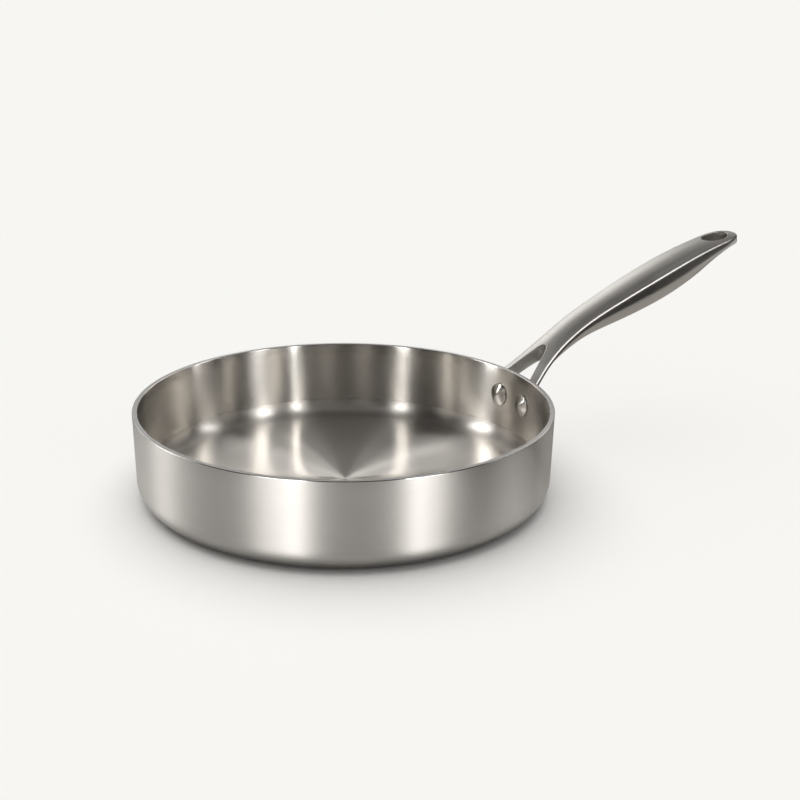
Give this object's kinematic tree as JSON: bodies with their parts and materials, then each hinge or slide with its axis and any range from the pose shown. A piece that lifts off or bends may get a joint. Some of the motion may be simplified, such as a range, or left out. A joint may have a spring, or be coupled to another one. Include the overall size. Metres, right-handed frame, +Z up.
{
  "type": "saute pan",
  "caption": "Straight-sided clad saute pan with a flat base, rounded lower edge and a riveted, forked cast handle that rises to a hang hole.",
  "frame": {"origin": "centre of the base's underside, on the hob", "axes": "+X along the handle, away from the pan; +Z up, out of the pan's mouth; +Y to the left of someone who holds the handle and looks over the pan"},
  "size_m": [0.4463, 0.26, 0.1375],
  "materials": {
    "shell_steel": "satin stainless steel, brushed level round the wall",
    "core_aluminium": "bare aluminium, seen only as a stripe along the rim",
    "liner_steel": "polished stainless steel wall and a base brushed in circles",
    "handle_steel": "satin cast stainless steel",
    "rivet_steel": "turned and polished stainless steel"
  },
  "bodies": {
    "root": {"outer_shell": "shell_steel", "heat_core": "core_aluminium", "cooking_liner": "liner_steel", "handle": "handle_steel", "rivet_left": "rivet_steel", "rivet_right": "rivet_steel"}
  },
  "joints": []
}
